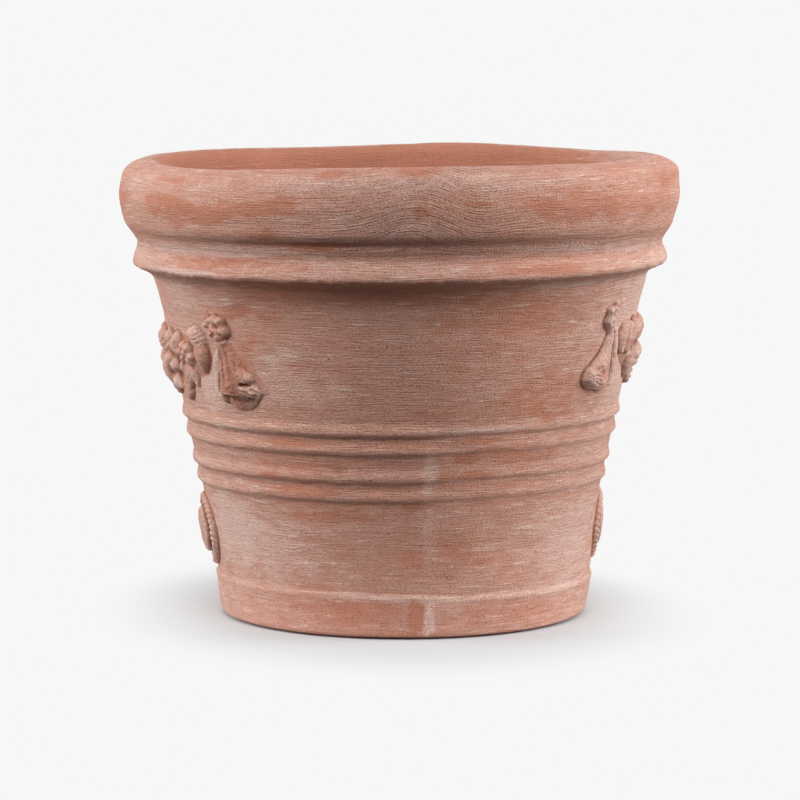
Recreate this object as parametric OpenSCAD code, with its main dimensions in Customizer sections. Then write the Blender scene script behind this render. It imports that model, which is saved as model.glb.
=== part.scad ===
// Festooned terracotta flower pot: a tapered wall with a drained base slab, a heavy rolled
// rim over a collar bead, and pressed relief ornaments luted to opposite sides.
// Millimetres. +Z is up, the origin is the centre of the foot on the ground, and the
// two festoons face +X and -X.

/* [Pot] */
// Diameter over the rolled rim
rim_d = 400; // [370:5:440]
// Overall height
pot_h = 325; // [310:5:380]
// Diameter over the foot band
foot_d = 265; // [240:5:290]
// Thickness of the clay wall
wall_t = 20; // [15:1:24]
// How far the wall under the collar stands inside the rim's outside
neck_in = 26; // [21:1:32]

/* [Foot and base] */
// Height of the foot band
foot_h = 31; // [24:1:38]
// How far the foot band stands out from the wall
foot_out = 2; // [1:0.5:4]
// Radius of the foot's bottom edge
foot_round = 5.5; // [3:0.5:8]
// Thickness of the base slab
base_t = 22; // [16:1:28]
// Height of the slab's underside over the ground
base_lift = 3; // [1:0.5:6]
// Diameter of the drain hole
drain_d = 28; // [18:1:40]
// Leg of the clay coil worked into the inside corner
seam_leg = 14; // [8:1:20]

/* [Rim and collar] */
// Height of the rolled rim, from crease to crest
rim_h = 63; // [54:1:72]
// Depth of wall edge that the rim folds over
rim_cap = 25; // [20:1:30]
// Depth of the crease behind the rim's outside
crease_in = 14; // [11:0.5:17]
// Height of the collar bead under the crease
collar_h = 24; // [18:1:30]
// How far the collar's crest stands out from the crease
collar_out = 4; // [2:0.5:6]
// Radius of the collar's crest
collar_round = 4; // [2.5:0.5:5]

/* [Ribs] */
// Height of the lowest rib's lower edge over the ground
rib_start = 93; // [86:1:100]
// Step between the two ribs of a pair
rib_step = 12.5; // [11:0.5:14]
// Step from the lower pair of ribs to the upper pair
rib_pair_step = 31; // [28:0.5:34]
// How far a rib stands out from the wall
rib_out = 2.4; // [1.5:0.1:3]

/* [Festoons] */
// Height of the left festoon's rosettes below the crease
left_drop = 53; // [50:1:60]
// Height of the right festoon's rosettes below the crease
right_drop = 45; // [43:1:55]
// Angle from the middle of the left festoon to each of its rosettes
left_reach = 35; // [32:0.5:38]
// Angle from the middle of the right festoon to each of its rosettes
right_reach = 39.5; // [37:0.5:42]
// Diameter of a rosette
rosette_d = 18.5; // [15:0.5:20]
// How far the left swag hangs below its rosettes
left_sag = 28; // [24:1:32]
// How far the right swag hangs below its rosettes
right_sag = 32; // [26:1:35]
// Height of the swag at its middle
swag_w = 36; // [32:1:40]
// Thickness of the pressed clay behind the fruit
relief_t = 4; // [3:0.5:6]
// Length of a hanging drape
drape_l = 50; // [43:1:53]
// Angle between a drape's outer folds
drape_spread = 40; // [30:2:48]

/* [Medallions] */
// Height of a medallion
medallion_h = 53; // [44:1:54]
// Width of a medallion
medallion_w = 54; // [46:1:58]
// Thickness of the rope round a medallion
rope_d = 5.4; // [4:0.2:6.4]

/* [Hidden] */

$fn = 96;
// Facets of a relief's large balls, small balls and rope ends
LARGE_FN = 12;
SMALL_FN = 8;
ROPE_FN = 6;
// Radius from which a ball counts as large
LARGE_R = 4;
// Side of a square or block that reaches past everything it cuts
FAR = 1000;
// Depth that a relief's shapes start below the wall's surface
ROOT = 6;
// Layer of slip between a relief and the wall
SLIP = 0.1;

// Where each festoon hangs: drop of its rosettes, reach to them, lean of its drapes and sag
LEFT = [left_drop, left_reach, 14, left_sag];
RIGHT = [right_drop, right_reach, 2, right_sag];

CLAY = "#b5725a";
CLAY_DARK = "#a8654e";
CLAY_PALE = "#c9a091";

// Wall
crease_z = pot_h - rim_h;
crease_r = rim_d / 2 - crease_in;
wall_top = crease_z + rim_h - rim_cap;
knee_z = rib_start;
// How fast the wall's radius grows with the height below the ribs
knee_rise = 0.172;
foot_wall_r = foot_d / 2 - foot_out;
knee_r = foot_wall_r + knee_rise * (knee_z - foot_h);
neck_z = crease_z - collar_h;
neck_r = rim_d / 2 - neck_in;
upper_rise = (neck_r - knee_r) / (neck_z - knee_z);
lean = atan(upper_rise);
lean_low = atan(knee_rise);
wall_run = wall_t / cos(lean);

// Radius of the wall's outside at a height
function wall_r(z) = z < knee_z ? knee_r - knee_rise * (knee_z - z)
    : knee_r + upper_rise * (z - knee_z);

// Radius of the wall's inside at a height
function inside_r(z) = wall_r(z) - wall_run;

// Points of an arc
function arc(centre, r, from, to, steps = 6) =
    [for (i = [0 : steps]) let (a = from + (to - from) * i / steps) centre + r * [cos(a), sin(a)]];

// Angle of the outer tangent's normal, from one disc to the next, walking anticlockwise
function normal_angle(a, b) = atan2(b[0][1] - a[0][1], b[0][0] - a[0][0])
    - acos((a[1] - b[1]) / norm(b[0] - a[0]));

// Arcs of a belt that runs round the outside of discs given as [centre, radius]
function belt(discs, steps = 6) = [for (i = [1 : len(discs) - 2])
    each arc(discs[i][0], discs[i][1], normal_angle(discs[i - 1], discs[i]),
        normal_angle(discs[i], discs[i + 1]), steps)];

// A rib: round above, with a crisp lower edge
function rib_points(z) = let (
    rib_r = 8,
    rise = 3,
    centre = [wall_r(z + rise) + rib_out - rib_r, z + rise])
    concat([[wall_r(z), z]], arc(centre, rib_r, asin(-rise / rib_r),
        acos(1 - rib_out * cos(lean) / rib_r) - lean));

function foot_points() = let (
    top_round = 3,
    tuck = 2.5,
    low = [foot_d / 2 - tuck - foot_round, foot_round],
    high = [foot_d / 2 - top_round, foot_h - top_round],
    side = normal_angle([low, foot_round], [high, top_round]))
    concat(arc(low, foot_round, -90, side), arc(high, top_round, side, acos(1 - foot_out / top_round)));

// The wall's outside from the ground to its top edge
function outer_points() = concat(
    foot_points(),
    [[foot_wall_r, foot_h]],
    [for (pair = [0, rib_pair_step], step = [0, rib_step]) each rib_points(rib_start + pair + step)],
    [[wall_r(wall_top), wall_top]]);

// The outer surface with its slip as one solid form, which every relief is cut to
module wall_form() {
    rotate_extrude($fn = 72) polygon(concat([[0, 0]], [for (p = outer_points()) p + [SLIP, 0]], [[0, wall_top]]));
}

// A plain layer of clay over the wall, as deep as t
module skin(t) {
    rotate_extrude() polygon([[0, 0], [wall_r(0) + t, 0], [knee_r + t, knee_z],
        [wall_r(crease_z) + t, crease_z], [0, crease_z]]);
}

module base_slab() {
    top = base_lift + base_t;
    color(CLAY_DARK) difference() {
        rotate_extrude() polygon([[0, base_lift], [inside_r(base_lift), base_lift],
            [inside_r(top), top], [0, top]]);
        translate([0, 0, base_lift - 1]) cylinder(d = drain_d, h = base_t + 2);
    }
}

// A coil smoothed with the finger into the corner of slab and wall
module seam_coil() {
    floor_z = base_lift + base_t;
    corner = [inside_r(floor_z), floor_z];
    high = [inside_r(floor_z + seam_leg), floor_z + seam_leg];
    low = [corner[0] - seam_leg, floor_z];
    pull = corner + seam_leg * [-0.3, 0.25];
    steps = 8;
    color(CLAY_DARK) rotate_extrude() polygon(concat([corner],
        [for (i = [0 : steps]) let (t = i / steps)
            (1 - t) * (1 - t) * high + 2 * t * (1 - t) * pull + t * t * low]));
}

module pot_wall() {
    color(CLAY) rotate_extrude() polygon(concat([[inside_r(0), 0]], outer_points(),
        [[inside_r(wall_top), wall_top], [inside_r(knee_z), knee_z]]));
}

module collar_bead() {
    crest = [crease_r + collar_out - collar_round, crease_z - collar_h / 3];
    low = [wall_r(neck_z), neck_z];
    high = [crease_r, crease_z];
    color(CLAY) rotate_extrude() polygon(concat([low],
        belt([[low, 0], [crest, collar_round], [high, 0]]), [high, [wall_r(crease_z), crease_z]]));
}

// The rolled rim: a thick coil folded over the wall's edge and shaped with a template
module rolled_rim() {
    rim_r = rim_d / 2;
    // Arcs of the rim, from the crease up and over: radius, and depth behind the rim's outside
    hip_round = 12;
    hip_in = 1.5;
    belly_round = 24;
    shoulder_round = 13;
    shoulder_in = 2;
    shoulder_down = 1.5;
    lip_round = 8;
    lip_z = pot_h - lip_round;
    inner = [inside_r(wall_top), wall_top];
    high = [crease_r, crease_z];
    color(CLAY) rotate_extrude() polygon(concat([high],
        belt([[high, 0],
            [[rim_r - hip_in - hip_round, crease_z + rim_h * 0.41], hip_round],
            [[rim_r - belly_round, crease_z + rim_h * 0.57], belly_round],
            [[rim_r - shoulder_in - shoulder_round, pot_h - shoulder_round - shoulder_down], shoulder_round],
            [[inside_r(lip_z) + lip_round, lip_z], lip_round],
            [inner, 0]]),
        [inner, [wall_r(wall_top), wall_top], [wall_r(crease_z), crease_z]]));
}

// A frame on the wall: X out of the wall, Y along it towards a larger angle, Z up it
module on_wall(angle, z, tilt = lean) {
    rotate([0, 0, angle]) translate([wall_r(z), 0, z]) rotate([0, tilt, 0]) children();
}

module ball(r) { sphere(r, $fn = r < LARGE_R ? SMALL_FN : LARGE_FN); }

// A bar with round ends, from one ball to another
module bar(a, ra, b, rb) {
    hull() {
        translate(a) ball(ra);
        translate(b) ball(rb);
    }
}

// A prism out of the wall, from an outline seen from outside
module prism(height) {
    translate([-ROOT, 0, 0]) rotate([90, 0, 90]) linear_extrude(ROOT + height) children();
}

// A leaf along Z whose two halves rise from the midrib between them
module leaf(length, width) {
    for (side = [-1, 1]) hull() {
        translate([0.5, 0, -length / 2]) ball(1.6);
        translate([2.2, side * width * 0.28, -length * 0.1]) ball(width * 0.22);
        translate([2.6, side * width * 0.2, length * 0.2]) ball(width * 0.18);
        translate([3, 0, length / 2]) ball(0.8);
    }
}

// A bunch of berries in rows of 3, 4 and 2
module berries(size) {
    rows = [3, 4, 2];
    step = size * 1.55;
    for (row = [0 : 2], i = [0 : rows[row] - 1])
        translate([size * 0.9, (i - (rows[row] - 1) / 2) * step, (1 - row) * step * 0.87]) ball(size);
}

module fruit(kind, size) {
    if (kind == "apple") translate([size * 0.35, 0, 0]) ball(size);
    if (kind == "pear") bar([size * 0.3, 0, size * 0.3], size * 0.85, [size * 0.3, 0, -size], size * 0.4);
    if (kind == "berries") berries(size);
    if (kind == "leaf") leaf(size, size * 0.55);
}

// Fruit and leaves from the middle of the swag to a rosette:
// kind, share of the way, step above the swag's line, size, turn
SWAG = [["apple", 0, -4, 9.5, 0], ["apple", 0, 14, 7.5, 0], ["pear", 0.1, -16, 6.5, 60],
    ["leaf", 0.22, 15, 20, 20], ["pear", 0.31, 2, 6.8, 0], ["apple", 0.28, -11, 6.5, 0],
    ["leaf", 0.46, -14, 18, 150], ["berries", 0.55, 6, 3.6, 15], ["leaf", 0.62, -7, 19, 165],
    ["leaf", 0.83, -6, 20, 10], ["apple", 0.78, 10, 8, 0]];

// Height of the swag's line over its lowest point, at a share of the way to a rosette
function swag_rise(share, sag) = sag * pow(abs(share), 3);

// Half of the swag's height at a share of the way to a rosette
function swag_half(share) = swag_w / 2 * (1 - 0.62 * share * share);

// A point on the swag's upper or lower edge, seen from outside
function swag_edge(place, share, side) =
    let (up = crease_z - place[0] - place[3] + swag_rise(share, place[3]) + side * swag_half(share))
    [wall_r(up) * sin(place[1] * share), up];

// The crescent of clay that carries the fruit
module swag_crescent(place) {
    steps = 8;
    end = 0.93;
    shares = [for (i = [-steps : steps]) end * i / steps];
    polygon(concat([for (share = shares) swag_edge(place, share, 1)],
        [for (share = shares) swag_edge(place, -share, -1)]));
}

// A round space kept clear for a rosette
module rosette_seat(angle, z) {
    on_wall(angle, z) prism(ROOT * 3) circle(d = rosette_d + 0.8, $fn = 36);
}

module festoon(place) {
    reach = place[1];
    rosette_z = crease_z - place[0];
    low_z = rosette_z - place[3];
    color(CLAY_PALE) difference() {
        union() {
            intersection() {
                skin(relief_t);
                rotate([90, 0, 90]) linear_extrude(FAR) swag_crescent(place);
            }
            for (item = SWAG, side = item[1] == 0 ? [1] : [-1, 1])
                on_wall(side * item[1] * reach, low_z + swag_rise(item[1], place[3]) + item[2])
                    rotate([side * item[4], 0, 0]) fruit(item[0], item[3]);
        }
        wall_form();
        for (side = [-1, 1]) {
            rosette_seat(side * reach, rosette_z);
            drape_space(side, place);
        }
    }
}

// A flower boss: petals round a bud, and the tied ribbon's ends above it
module rosette(side, place) {
    petals = 7;
    petal_r = rosette_d * 0.17;
    outer = rosette_d / 2 - petal_r;
    ribbon_l = 9;
    color(CLAY_PALE) difference() {
        on_wall(side * place[1], crease_z - place[0]) {
            prism(4) circle(outer, $fn = 24);
            for (i = [0 : petals - 1]) rotate([7 + i * 360 / petals, 0, 0])
                hull() translate([2.4, 0, outer]) ball(petal_r);
            hull() translate([4.2, 0.1, 0.2]) ball(petal_r * 1.25);
            hull() {
                translate([0.7, 0, outer]) ball(1.7);
                for (turn = [-16, 11]) rotate([side * turn, 0, 0])
                    translate([-0.4, 0, rosette_d / 2 + ribbon_l]) ball(2.4);
            }
        }
        wall_form();
    }
}

// Angle round the pot of a point on a drape, down from the rosette's centre
function drape_angle(place, down) = place[1]
    + asin(sin(place[2]) * down / wall_r(crease_z - place[0] - down));

// The fan on the wall that a drape fills
module drape_space(side, place) {
    half = drape_l / 2;
    width = drape_l * tan(drape_spread / 2 + 6);
    on_wall(side * drape_angle(place, half), crease_z - place[0] - cos(place[2]) * half)
        rotate([side * place[2], 0, 0]) prism(ROOT * 3) polygon([[-3, half], [3, half],
            [width, -half], [width, -half - 10], [-width, -half - 10], [-width, -half]]);
}

// One fold of a drape: it leaves the rosette thin, swells and ends round
module fold(side, place, turn, length) {
    half = length / 2;
    angle = place[1] + asin(sin(turn) * half / wall_r(crease_z - place[0] - half));
    on_wall(side * angle, crease_z - place[0] - cos(turn) * half * cos(lean))
        rotate([side * turn, 0, 0]) {
            bar([0, 0, half], 1.5, [1.6, 0, 0], 2.6);
            bar([1.6, 0, 0], 2.6, [1.4, 0, -half], 4.2);
        }
}

// A cloth end that hangs from a rosette in folds, with its hem rolled up
module drape(side, place) {
    folds = 5;
    hem_r = 6.5;
    hem_half = 10;
    hem_down = drape_l * 0.92;
    color(CLAY_PALE) difference() {
        union() {
            for (i = [0 : folds - 1]) let (share = i / (folds - 1) - 0.5)
                fold(side, place, place[2] + share * drape_spread, drape_l * (0.9 - 0.5 * share * share));
            on_wall(side * drape_angle(place, hem_down), crease_z - place[0] - cos(place[2]) * hem_down)
                rotate([side * place[2], 0, 0])
                    bar([1.5, -hem_half, 0], hem_r, [1, hem_half, 0], hem_r * 0.75);
        }
        wall_form();
        rosette_seat(side * place[1], crease_z - place[0]);
    }
}

// How far the wall falls away beside a point
function bow(aside) = aside * aside / 2 / knee_r;

// Points round an oval, seen from outside
function oval(half_w, half_h, steps) =
    [for (i = [0 : steps - 1]) let (a = i * 360 / steps) [half_w * sin(a), half_h * cos(a)]];

// An oval plate with a roped border round a plain domed field
module medallion() {
    z = (foot_h + rib_start) / 2;
    plate_t = 3;
    field_t = 7;
    field_r = 62;
    turns = 18;
    half_w = (medallion_w - rope_d) / 2;
    half_h = (medallion_h - rope_d) / 2;
    inner = oval(half_w - rope_d / 4, half_h - rope_d / 4, turns);
    outer = oval(half_w + rope_d / 4, half_h + rope_d / 4, turns);
    color(CLAY_PALE) difference() {
        union() {
            intersection() {
                skin(plate_t);
                on_wall(0, z, lean_low) prism(FAR) polygon(oval(half_w, half_h, turns));
            }
            on_wall(0, z, lean_low) {
                intersection() {
                    prism(field_t) polygon(oval(half_w * 0.74, half_h * 0.76, turns));
                    translate([field_t - field_r, 0, 0]) sphere(field_r, $fn = 48);
                }
                for (i = [0 : turns - 1]) let (a = inner[i], b = outer[(i + 1) % turns]) hull() {
                    translate([plate_t * 0.7 - bow(a[0]), a[0], a[1]]) sphere(rope_d * 0.36, $fn = ROPE_FN);
                    translate([plate_t * 0.4 - bow(b[0]), b[0], b[1]]) sphere(rope_d * 0.36, $fn = ROPE_FN);
                }
            }
        }
        wall_form();
    }
}

base_slab();
seam_coil();
pot_wall();
collar_bead();
rolled_rim();
rotate([0, 0, 180]) festoon(LEFT);  // festoon_left
festoon(RIGHT);  // festoon_right
rotate([0, 0, 180]) rosette(1, LEFT);  // rosette_left_front
rotate([0, 0, 180]) rosette(-1, LEFT);  // rosette_left_back
rosette(-1, RIGHT);  // rosette_right_front
rosette(1, RIGHT);  // rosette_right_back
rotate([0, 0, 180]) drape(1, LEFT);  // drape_left_front
rotate([0, 0, 180]) drape(-1, LEFT);  // drape_left_back
drape(-1, RIGHT);  // drape_right_front
drape(1, RIGHT);  // drape_right_back
rotate([0, 0, 180]) medallion();  // medallion_left
medallion();  // medallion_right
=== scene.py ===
"""The looks of a festooned terracotta flower pot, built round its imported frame."""
import math
from functools import partial

import bpy
import numpy as np
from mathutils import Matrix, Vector


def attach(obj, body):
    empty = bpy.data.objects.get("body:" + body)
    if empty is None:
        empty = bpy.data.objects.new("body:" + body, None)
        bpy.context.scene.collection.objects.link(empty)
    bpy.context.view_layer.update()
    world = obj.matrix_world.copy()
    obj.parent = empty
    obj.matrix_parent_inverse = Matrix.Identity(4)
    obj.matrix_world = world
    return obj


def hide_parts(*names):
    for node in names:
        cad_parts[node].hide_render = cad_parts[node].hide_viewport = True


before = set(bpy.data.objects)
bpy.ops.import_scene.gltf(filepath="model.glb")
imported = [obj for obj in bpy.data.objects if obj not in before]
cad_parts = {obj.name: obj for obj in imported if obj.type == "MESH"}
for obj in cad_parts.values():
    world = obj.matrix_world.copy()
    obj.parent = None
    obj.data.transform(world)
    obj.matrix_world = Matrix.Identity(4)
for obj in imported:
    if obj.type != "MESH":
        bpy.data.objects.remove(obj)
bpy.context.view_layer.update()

MM = 0.001

# Sizes of the pot, in millimetres, as in the part's source. A rise is how far the wall leans out
# per millimetre of height, under the knee or over it
NECK_Z = 238
WALL_TOP = 300
WALL_T = 20.5
KNEE_Z = 93
KNEE_R = 141.2
LOW_RISE = 0.172
HIGH_RISE = 0.2265
FOOT_H = 31
FLOOR_Z = 25
SLAB_UNDER = 3
DRAIN_R = 14
SEAM_LEG = 14

# The camera looks at the pot's middle from 2.73 m, a little to the left of the front. The turn is
# in degrees, the rest in millimetres
CAMERA_TURN = -7.5
CAMERA_AWAY = 2714
CAMERA_HIGH = 457
AIM_Z = 151
PICTURE_W = 571.4
SENSOR_W = 36

# Heights of the four ribs' lower edges
RIBS = (96.8, 110, 129.3, 142.3)
RIB_OUT = 2.3

# Festoons: angle of the middle, height of the rosettes, and degrees from the middle to them
LEFT = dict(middle=180, rosette_z=213, reach=35.2)
RIGHT = dict(middle=0, rosette_z=219, reach=39.4)
MEDALLION_Z = 62
MEDALLION_W = 54
MEDALLION_H = 53

FRONT = 270 + CAMERA_TURN


# The clay's shape by hand
def view_angle(angle):
    """Degrees from the middle of the picture, to the right, of an angle round the pot."""
    return (angle - FRONT + 180) % 360 - 180


def ramp(x, low, high):
    """Smooth step from 0 at low to 1 at high."""
    t = np.clip((x - low) / (high - low), 0, 1)
    return t * t * (3 - 2 * t)


def bell(x, middle, width):
    """1 at the middle, falling to 0 over about two widths."""
    return np.exp(-((x - middle) / width) ** 2)


def between_knots(a, b, c, d, t):
    """Where a smooth curve through a, b, c and d is, t of the way from b to c."""
    return b + 0.5 * t * (c - a + t * (2 * a - 5 * b + 4 * c - d + t * (3 * (b - c) + d - a)))


def round_curve(x, knots):
    """Smooth closed curve round the pot through (view angle, value) knots."""
    at, value = np.array(knots, float).T
    at = np.concatenate([at - 360, at, at + 360])
    value = np.tile(value, 3)
    i = np.clip(np.searchsorted(at, x) - 1, 1, len(at) - 3)
    t = (x - at[i]) / (at[i + 1] - at[i])
    return between_knots(value[i - 1], value[i], value[i + 1], value[i + 2], t)


# How the rim rises and falls, and how far it is pushed in and out, by view angle
RIM_RISE = [(-165, -1.1), (-128, -0.4), (-90, -0.8), (-52, -3.1), (0, 1.5), (49, 1.2), (80, 2.2),
            (104, 1.2), (129, -0.6), (168, 2.0)]
RIM_PUSH = [(-150, 0.5), (-90, 0), (-40, -1), (10, 0.6), (60, -0.8), (90, 0), (130, 0.8), (175, -0.8)]
# How far the whole ring is larger than the true form, and off its axis to the right, by height
SWELL = [(0, 0.8), (14, 1.3), (38, 1.5), (60, 0.7), (130, 0.6), (200, 0), (240, -0.3), (264, -1.3),
         (325, -1.3)]
SWAY = [(0, 2.3), (14, 2.7), (38, 2.9), (60, 1.4), (110, 0.9), (200, 0.4), (325, -0.7)]
# How the ribs, the collar and the foot band's edge lift, by view angle. The ribs step up where the
# mould's halves meet
RIB_LIFT = [(-170, 0), (-120, -0.5), (-75, -1.2), (-40, -0.3), (-5, 0.2), (8, 0.5), (20, 1.9), (45, 1.8),
            (90, 0.8), (140, 0.2)]
COLLAR_LIFT = [(-180, 0.5), (-90, 0), (-30, -0.2), (20, 0.8), (90, 2.6), (150, 1.2)]
FOOT_LIFT = [(-170, 0), (-90, 0), (-30, 0.5), (0, 0.3), (14, -1), (60, -2.4), (120, -1)]


def hand_shaped(p):
    """Moves points of the true form, in mm, to where the potter's hand left them."""
    x, y, z = p.T
    angle = np.degrees(np.arctan2(y, x))
    view = view_angle(angle)
    r = np.hypot(x, y)
    rim = ramp(z, 245, 318)
    rise = rim * round_curve(view, RIM_RISE)
    rise = rise + round_curve(view, RIB_LIFT) * bell(z, 118, 34)
    rise = rise + round_curve(view, FOOT_LIFT) * bell(z, FOOT_H, 13)
    rise = rise + round_curve(view, COLLAR_LIFT) * ramp(z, 236, 243) * (1 - ramp(z, 257, 268))
    push = rim * round_curve(view, RIM_PUSH)
    push = push + np.interp(z, *np.array(SWELL, float).T)
    # The crease over the collar is deepest left of the front
    push = push - 2.5 * bell(z, 274.5, 3.2) * bell(view, -14, 46)
    # At the right the rim's shoulder stands out and its lower edge is drawn in
    push = push + bell(view, 84, 24) * (2.1 * bell(z, 316.5, 6.5) - 1.2 * bell(z, 283, 6))
    # To the right of the mould's seam the ribs came out half as high
    push = push - 0.5 * rib_height(z) * ramp(view, 3, 14) * (1 - ramp(view, 62, 88))
    torn = lattice_noise(view * 2.4 + 700, z * 0.6, 13, 8, 61, 3) * bell(z, 120, 32)
    push = push + 0.22 * torn
    rise = rise + 0.5 * torn
    a = np.radians(angle)
    sway = np.interp(z, *np.array(SWAY, float).T)
    turn = math.radians(CAMERA_TURN)
    return np.stack([(r + push) * np.cos(a) + sway * math.cos(turn),
                     (r + push) * np.sin(a) + sway * math.sin(turn), z + rise], axis=1)


def lattice_noise(u, v, size_u, size_v, seed, octaves=3):
    """Smooth noise of about -1 to 1 over two lengths, with its largest lumps of the given sizes."""
    total = np.zeros(np.shape(u))
    for octave in range(octaves):
        table = np.random.default_rng(seed + octave).uniform(-1, 1, (256, 256))
        a = u / size_u * 2 ** octave + 17.3 * octave
        b = v / size_v * 2 ** octave + 31.7 * octave
        i, j = np.floor(a).astype(int), np.floor(b).astype(int)
        s, t = a - i, b - j
        s, t = s * s * (3 - 2 * s), t * t * (3 - 2 * t)
        low = table[i % 256, j % 256] * (1 - s) + table[(i + 1) % 256, j % 256] * s
        high = table[i % 256, (j + 1) % 256] * (1 - s) + table[(i + 1) % 256, (j + 1) % 256] * s
        total += (low * (1 - t) + high * t) * 0.55 ** octave
    return total


# The wall's outside, as (height, radius)
WALL_SHAPE = np.array([(31, 131), (40, 132.5), (KNEE_Z, 141.5), (210.4, 167.6), (215, 168.3),
                       (219, 169.2), (223, 170.3), (227.5, 171.5), (232, 172.7), (NECK_Z, 174.6),
                       (245, 176), (WALL_TOP, 188.5)])


def wall_radius(z):
    return np.interp(z, WALL_SHAPE[:, 0], WALL_SHAPE[:, 1])


def inside_radius(z):
    rise = np.where(z < KNEE_Z, LOW_RISE, HIGH_RISE)
    return KNEE_R + rise * (z - KNEE_Z) - WALL_T


def rib_height(z):
    """How far the ribs stand out at a height: a crisp lower edge with a groove under it."""
    out = np.zeros(np.shape(z))
    for low in RIBS:
        up = z - low
        out = np.maximum(out, RIB_OUT * ramp(up, -0.5, 1.7) * (1 - ramp(up, 2.6, 10.5)))
        out = out - 0.5 * bell(up, -1.2, 1.1)
    return out


# Nodes
def add(tree, kind, inputs=None, **settings):
    """Adds a node with its settings, and gives its inputs values or links."""
    node = tree.nodes.new(kind)
    for name, value in settings.items():
        setattr(node, name, value)
    for key, value in (inputs or {}).items():
        if isinstance(value, bpy.types.NodeSocket):
            tree.links.new(value, node.inputs[key])
        else:
            node.inputs[key].default_value = value
    return node


def made(tree, kind, inputs=None, **settings):
    """Adds a node and gives its first output."""
    return add(tree, kind, inputs, **settings).outputs[0]


def math_node(tree, kind, a, b=0.0, c=0.0):
    return made(tree, "ShaderNodeMath", {0: a, 1: b, 2: c}, operation=kind)


def mixed(tree, factor, under, over):
    """A colour laid over another as far as the factor says."""
    return add(tree, "ShaderNodeMix", {0: factor, 6: under, 7: over}, data_type="RGBA").outputs[2]


def cleared(owner):
    """The empty node tree of a material or a world."""
    owner.use_nodes = True
    owner.node_tree.nodes.clear()
    return owner.node_tree


def seen_rays(tree):
    """1 where the camera or a reflection sees a thing, and 0 where only light falls on it."""
    rays = add(tree, "ShaderNodeLightPath").outputs
    return math_node(tree, "MAXIMUM", rays["Is Camera Ray"], rays["Is Glossy Ray"])


def linear(hex_colour):
    """sRGB hex colour as linear RGBA."""
    parts = [int(hex_colour[i:i + 2], 16) / 255 for i in (1, 3, 5)]
    return [c / 12.92 if c <= 0.04045 else ((c + 0.055) / 1.055) ** 2.4 for c in parts] + [1]


# Materials
CLAY_WARM = "#c3846b"
CLAY_DULL = "#b97c64"
BLOOM_PINK = "#dab5a8"
SALT_PALE = "#ecd3c6"
# Painted shade in the comb's grooves
GROOVE_SHADE_DARK = "#704237"
GROG_DARK = "#6a3f33"
# Painted shade in crevices and under things, with some grime
SHADE_AND_GRIME_DARK = "#5e3427"
# Painted shade in the pits
PIT_SHADE_DARK = "#5d3427"
# The distance between two teeth of the comb, in mm
COMB_STEP = 1.8


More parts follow.
